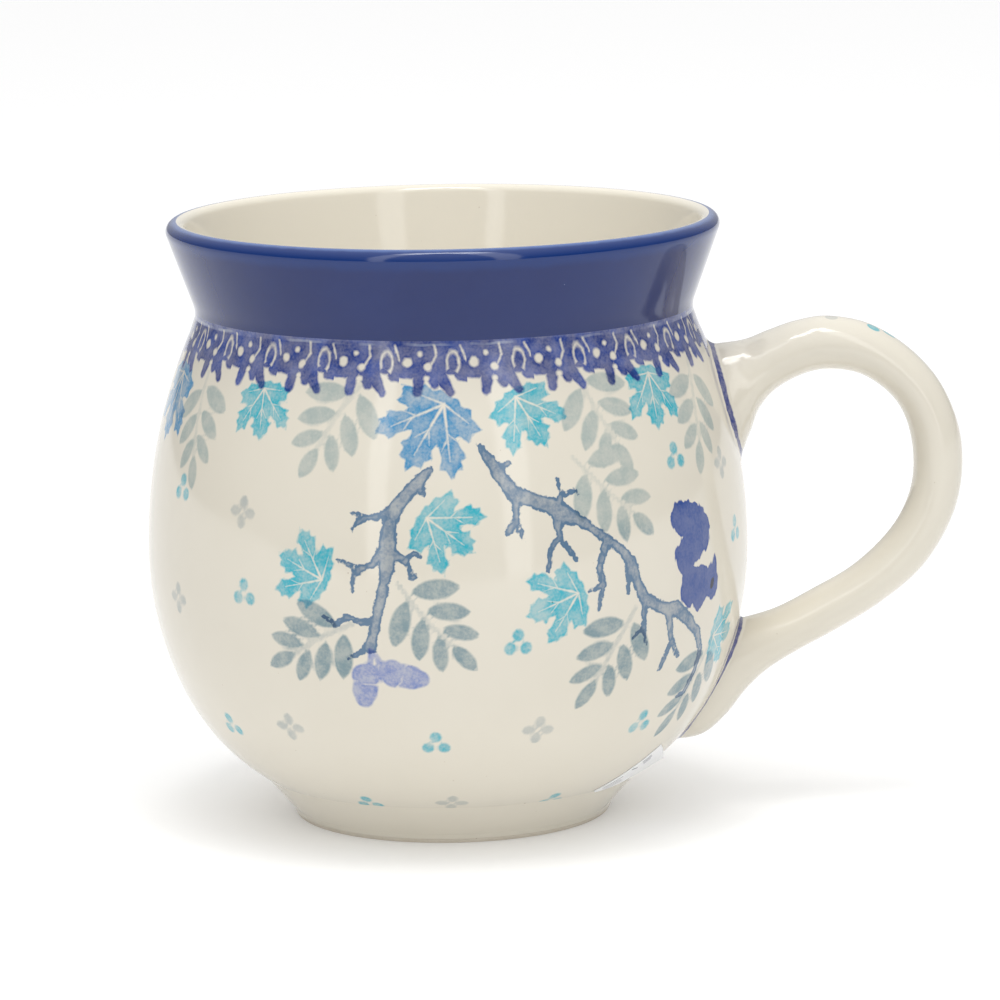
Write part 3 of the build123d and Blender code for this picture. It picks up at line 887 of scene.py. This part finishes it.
stations = smooth_rows([(*outside, *inside, half) for outside, inside, half in HANDLE_STATIONS], HANDLE_RINGS)
turns = np.linspace(0, 2 * math.pi, HANDLE_TURNS, endpoint=False)
middle = 0.5 * (stations[:, 0:2] + stations[:, 2:4])
half_thick = 0.5 * (stations[:, 0:2] - stations[:, 2:4])
handle_points = np.stack((
    middle[:, 0:1] + half_thick[:, 0:1] * np.cos(turns),
    stations[:, 4:5] * np.sin(turns),
    middle[:, 1:2] + half_thick[:, 1:2] * np.cos(turns),
), axis=2)
radius = np.hypot(handle_points[..., 0], handle_points[..., 1])
clearance = radius - belly_radius(handle_points[..., 2])  # outside the belly's surface

sunk = handle_points.copy()
pulled = np.maximum(clearance, -HIDDEN) - clearance
sunk[..., 0] += pulled * handle_points[..., 0] / radius
sunk[..., 1] += pulled * handle_points[..., 1] / radius
faces = [
    (ring * HANDLE_TURNS + turn, ring * HANDLE_TURNS + (turn + 1) % HANDLE_TURNS,
     (ring + 1) * HANDLE_TURNS + (turn + 1) % HANDLE_TURNS, (ring + 1) * HANDLE_TURNS + turn)
    for ring in range(HANDLE_RINGS - 1) for turn in range(HANDLE_TURNS)
]
faces.append(tuple(reversed(range(HANDLE_TURNS))))
faces.append(tuple(range((HANDLE_RINGS - 1) * HANDLE_TURNS, HANDLE_RINGS * HANDLE_TURNS)))
handle_coat = mesh_piece("handle_coat", sunk.reshape(-1, 3), faces)

handle_material, tree, shader = new_material("handle glaze", GLOSS, 1.5)
glaze = place(tree, cream_glaze)
along, across, height = (part / MM for part in split(tree, object_place(tree)))
paint = glaze["Colour"]
for dots, wash in (
    (((62.3, 1.2), (64.0, -0.9)), (0.66, 0.71, 0.76, 1)),
    (((70.9, -1.4), (73.6, -0.2), (71.9, 1.6)), (0.16, 0.62, 0.82, 1)),
):
    depth = joined([-(along - dot_x).hypot(across - dot_y) + DOT_RADIUS for dot_x, dot_y in dots])
    depth = depth.least(height - 74)  # on the strap's upper side only
    mark = place(tree, stamped_mark, Ground=paint, Depth=depth, Wash=wash, Soft=0.2, Ragged=0.15,
                 Patchy=0.4, Rim=0.2)
    paint = mark["Colour"]
tree.links.new(paint.socket, shader.inputs["Base Color"])
bumpy(tree, shader, glaze["Waves"], GLAZE_WAVE)
handle_coat.data.materials.append(handle_material)
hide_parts("handle_glaze")

# ---------------------------------------------------------------------------------------------
# The cobalt lines: where each end of the handle meets the belly, glaze pooled into the corner over
# a line of cobalt brushed round the joint. Each is a thin fillet, widest where the brush dwelt.
# ---------------------------------------------------------------------------------------------
FILLET_REACH = 1.9
FILLET_STEPS = 14


def joint_fillet(name, rings):
    """A closed bead round the joint whose crossing lies among these rings of the handle."""
    beads = []
    for turn in range(HANDLE_TURNS):
        rise = clearance[rings, turn]
        crossing = np.nonzero((rise[:-1] <= 0) & (rise[1:] > 0))[0][-1]
        share = -rise[crossing] / (rise[crossing + 1] - rise[crossing])
        line = handle_points[rings, turn]
        corner = line[crossing] + share * (line[crossing + 1] - line[crossing])
        upward = line[crossing + 1:]
        walked = np.cumsum(np.linalg.norm(np.diff(np.vstack((corner, upward)), axis=0), axis=1))
        on_handle = np.array([np.interp(FILLET_REACH, walked, upward[:, axis]) for axis in range(3)])
        beads.append((corner, on_handle))
    corners = np.array([corner for corner, _ in beads])
    tangents = np.roll(corners, -1, axis=0) - np.roll(corners, 1, axis=0)
    centre = corners.mean(axis=0)
    points = np.empty((FILLET_STEPS + 1, HANDLE_TURNS, 3))
    for turn, ((corner, on_handle), tangent) in enumerate(zip(beads, tangents)):
        slope = (belly_radius(corner[2] + 0.1) - belly_radius(corner[2] - 0.1)) / 0.2
        outward = np.array([corner[0], corner[1], 0]) / np.hypot(corner[0], corner[1])
        normal = outward - slope * np.array([0, 0, 1])
        normal /= np.linalg.norm(normal)
        away = np.cross(tangent, normal)
        away *= np.sign(np.dot(away, corner - centre)) / np.linalg.norm(away)
        on_belly = corner + FILLET_REACH * away
        on_belly[:2] *= (belly_radius(on_belly[2]) - 0.02) / np.hypot(on_belly[0], on_belly[1])
        on_handle = on_handle - 0.04 * away
        bend = corner + 0.05 * normal
        for step, t in enumerate(np.linspace(0, 1, FILLET_STEPS)):
            points[step, turn] = (1 - t) ** 2 * on_handle + 2 * t * (1 - t) * bend + t ** 2 * on_belly
        points[FILLET_STEPS, turn] = corner - 0.5 * normal
    rings = FILLET_STEPS + 1
    faces = [
        (step * HANDLE_TURNS + turn, (step + 1) % rings * HANDLE_TURNS + turn,
         (step + 1) % rings * HANDLE_TURNS + (turn + 1) % HANDLE_TURNS,
         step * HANDLE_TURNS + (turn + 1) % HANDLE_TURNS)
        for turn in range(HANDLE_TURNS) for step in range(rings)
    ]
    piece = mesh_piece(name, points.reshape(-1, 3), faces, (0, FILLET_STEPS - 1), HANDLE_TURNS)
    across = np.repeat(np.append(np.linspace(-1, 1, FILLET_STEPS), 0.0), HANDLE_TURNS)
    piece.data.attributes.new("across", "FLOAT", "POINT").data.foreach_set("value", across.astype(np.float32))
    return piece


upper_line = joint_fillet("upper_line", np.arange(HANDLE_RINGS // 2))
lower_line = joint_fillet("lower_line", np.arange(HANDLE_RINGS // 2, HANDLE_RINGS)[::-1])

line_material, tree, shader = new_material("cobalt line", GLOSS, 1.5)
glaze = place(tree, cream_glaze)
across = abs(read_attribute(tree, "across") + noise(tree, 8, 2) * 0.35)
depth = -across + 0.36 + noise(tree, 3.4, 2, shift=(2, 7, 1)) * 0.55
mark = place(tree, stamped_mark, Ground=glaze["Colour"], Depth=depth, Wash=(0.03, 0.06, 0.36, 1), Soft=0.09,
             Ragged=0.18, Patchy=0.3, Rim=0.0)
tree.links.new(mark["Colour"].socket, shader.inputs["Base Color"])
bumpy(tree, shader, glaze["Waves"], GLAZE_WAVE)
for line, node in ((upper_line, "upper_joint_line"), (lower_line, "lower_joint_line")):
    line.data.materials.append(line_material)
    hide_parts(node)

# ---------------------------------------------------------------------------------------------
# The paper label: a small white sticker, cut square and pressed on above the foot, where it
# follows the belly except for one corner that has started to lift.
# ---------------------------------------------------------------------------------------------
LABEL_LENGTH, LABEL_WIDTH, LABEL_THICKNESS = 13.5, 8.5, 0.12
LABEL_CORNER = (-43.8, 7.4)  # its lowest left corner, as degrees from the handle and height
LABEL_LEAN = 35  # degrees that it leans to the right
LABEL_COLUMNS, LABEL_ROWS = 30, 46
CURL_START, CURL_RISE = 1.35, 1.4  # where the corner leaves the belly, and how steeply

lean = math.radians(LABEL_LEAN)
corner_rise = np.interp(LABEL_CORNER[1], face_points[:, 1], face_rise)
corner_radius = belly_radius(LABEL_CORNER[1])
sheets, sheet_places = [], []
for skin in (LABEL_THICKNESS, 0.0):
    sheet = []
    for along in np.linspace(0, LABEL_LENGTH, LABEL_ROWS):
        for across in np.linspace(0, LABEL_WIDTH, LABEL_COLUMNS):
            rise = corner_rise + along * math.cos(lean) - across * math.sin(lean)
            sideways = along * math.sin(lean) + across * math.cos(lean)
            here, ahead = ([np.interp(level, face_rise, face_points[:, axis]) for axis in (0, 1)]
                           for level in (rise, rise + 0.3))
            slope = math.atan2(ahead[1] - here[1], ahead[0] - here[0])
            curl = max(0.0, along / LABEL_LENGTH + across / LABEL_WIDTH - CURL_START)
            gap = skin + 0.02 + CURL_RISE * curl**2
            turn = math.radians(LABEL_CORNER[0]) + sideways / (corner_radius + 4)
            reach = here[0] + gap * math.sin(slope)
            sheet.append((reach * math.cos(turn), reach * math.sin(turn), here[1] - gap * math.cos(slope)))
            sheet_places.append((along, across, 0.0))
    sheets.append(sheet)
count = LABEL_ROWS * LABEL_COLUMNS
faces = []
for row in range(LABEL_ROWS - 1):
    for column in range(LABEL_COLUMNS - 1):
        corner = row * LABEL_COLUMNS + column
        square = (corner, corner + 1, corner + 1 + LABEL_COLUMNS, corner + LABEL_COLUMNS)
        faces.append(square)
        faces.append(tuple(count + index for index in reversed(square)))
last_row, last_column = LABEL_ROWS - 1, LABEL_COLUMNS - 1
rim = [(0, column) for column in range(last_column)] + [(row, last_column) for row in range(last_row)]
rim += [(last_row, column) for column in range(last_column, 0, -1)]
rim += [(row, 0) for row in range(last_row, 0, -1)]
rim = [row * LABEL_COLUMNS + column for row, column in rim]
faces += [(second, first, count + first, count + second) for first, second in zip(rim, rim[1:] + rim[:1])]
label = mesh_piece("label", sheets[0] + sheets[1], faces)
label.data.attributes.new("sheet_place", "FLOAT_VECTOR", "POINT").data.foreach_set(
    "vector", np.array(sheet_places, np.float32).ravel())

paper_material, tree, shader = new_material("white paper", 0.62, 1.45)
sheet_x, sheet_y, _ = split(tree, read_attribute(tree, "sheet_place", "Vector").socket)
fibres = noise(tree, 0.35, 4, stretch=(1, 1, 3))
paper = blended(tree, "MIX", fibres.step(-0.3, 0.3), (0.84, 0.85, 0.86, 1), (0.92, 0.92, 0.92, 1))
# Grey bars stand where a printed label has its lines
rules = joined([inside_segment(sheet_x, sheet_y, *bar, 0.18, 0.18) for bar in (
    (1.6, 1.5, 5.4, 1.5), (1.6, 2.7, 4.8, 2.7), (1.6, 4.0, 5.0, 4.0), (7.4, 1.0, 8.2, 2.2),
    (9.6, 1.1, 11.2, 1.1), (9.6, 1.9, 11.2, 1.9), (9.6, 2.7, 10.8, 2.7),
)])
printed = rules.step(-0.05, 0.08) * (fibres.step(-0.25, 0.15) * 0.3 + 0.7)
paper = blended(tree, "MULTIPLY", printed, paper, (0.14, 0.15, 0.20, 1))
tree.links.new(paper.socket, shader.inputs["Base Color"])
bumpy(tree, shader, fibres, 0.02)
label.data.materials.append(paper_material)
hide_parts("paper_label")

# ---------------------------------------------------------------------------------------------
# The studio: a white table that runs out of sight, a white room round it, and two tall soft
# boxes, with a short one over each, that leave their strips on the glaze.
# ---------------------------------------------------------------------------------------------
table_mesh = bpy.data.meshes.new("table")
reach = 30 * mug_height
table_edge = -4.5 * mug_height  # in front of the mug, out of the picture
table_corners = [(-reach, table_edge, 0), (reach, table_edge, 0), (reach, reach, 0), (-reach, reach, 0)]
table_mesh.from_pydata(table_corners, [], [(0, 1, 2, 3)])
table = bpy.data.objects.new("table", table_mesh)
bpy.context.scene.collection.objects.link(table)
table.location.z = cad_box[0].z
table_material, tree, shader = new_material("white table", 0.6, 1.45)
shader.inputs["Base Color"].default_value = (0.84, 0.84, 0.84, 1)
shader.inputs["Emission Color"].default_value = (1, 1, 1, 1)
shader.inputs["Emission Strength"].default_value = 0.17  # a milky sheet lit from below
shader.inputs["Specular IOR Level"].default_value = 0.2
table.data.materials.append(table_material)

bpy.context.scene.view_settings.view_transform = "Standard"
world = bpy.data.worlds.new("white room")
bpy.context.scene.world = world
world.use_nodes = True
room = world.node_tree
room.nodes["Background"].inputs["Color"].default_value = (1, 1, 1, 1)
sideways, away, upward = split(room, room.nodes.new("ShaderNodeTexCoord").outputs["Generated"])
# The ceiling is bright, the camera's side is a little dimmer than the back, and the sides are
# dimmest
brightness = upward.most(0) * 0.88 - abs(sideways) * 0.46 - (-away).most(0) * 0.17 + 0.56
room.links.new(brightness.socket, room.nodes["Background"].inputs["Strength"])


def soft_box(name, azimuth, elevation, distance, width, height, strength):
    """A rectangular light that faces the middle of the mug; azimuth 0 is on the camera's side."""
    light = bpy.data.lights.new(name, "AREA")
    light.shape = "RECTANGLE"
    light.size, light.size_y = width, height
    light.energy = strength
    lamp = bpy.data.objects.new(name, light)
    bpy.context.scene.collection.objects.link(lamp)
    turn, rise = math.radians(azimuth), math.radians(elevation)
    aim = Vector((0, 0, 0.5 * mug_height))
    away = Vector((math.sin(turn) * math.cos(rise), -math.cos(turn) * math.cos(rise), math.sin(rise)))
    lamp.location = aim + away * distance
    lamp.rotation_euler = away.to_track_quat("Z", "Y").to_euler()
    return lamp


soft_box("left strip", -27, 30, 1.2, 0.16, 2.1, 2.1)
soft_box("right strip", 26, 30, 1.2, 0.24, 2.1, 2.9)
soft_box("left top strip", -27, 78, 1.2, 0.16, 0.4, 1.6)
soft_box("right top strip", 26, 78, 1.2, 0.20, 0.4, 2.0)
